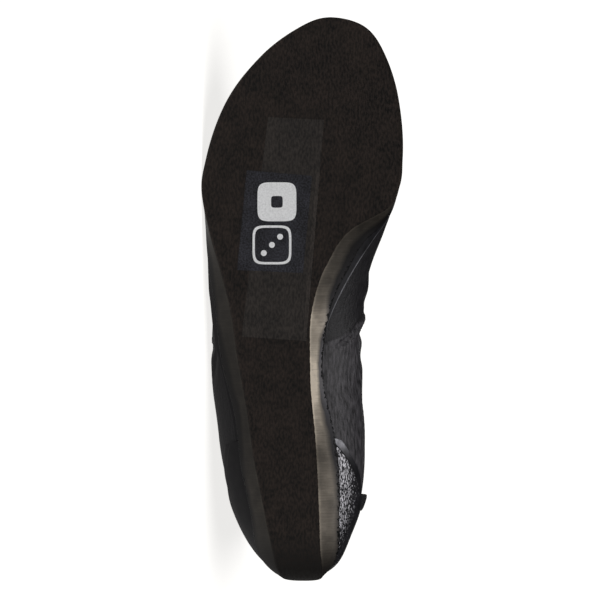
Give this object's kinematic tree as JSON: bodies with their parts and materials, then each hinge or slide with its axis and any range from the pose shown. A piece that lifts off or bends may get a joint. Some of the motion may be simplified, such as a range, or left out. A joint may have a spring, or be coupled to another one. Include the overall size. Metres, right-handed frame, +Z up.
{
  "type": "climbing shoe",
  "caption": "Right climbing shoe, a slip-on slipper with smooth rubber outsole, toe and heel rands, leather upper and pull loop, lying on its side.",
  "frame": {"origin": "on the floor under the middle of the bounding box of the shoe as it lies on its lateral side", "axes": "+X from toe to heel, +Z up, so the medial side faces up and the sole's underside faces -Y, leaning up by about 8.5 degrees"},
  "size_m": [0.2502, 0.0882, 0.0883],
  "materials": {
    "sole_rubber": "satin",
    "rand_rubber": "satin",
    "upper_leather": "matte",
    "insole_lining": "matte",
    "loop_webbing": "matte"
  },
  "bodies": {
    "root": {"outsole": "sole_rubber", "upper": "upper_leather", "toe_rand": "rand_rubber", "heel_rand": "rand_rubber", "insole": "insole_lining", "pull_loop": "loop_webbing"}
  },
  "joints": []
}
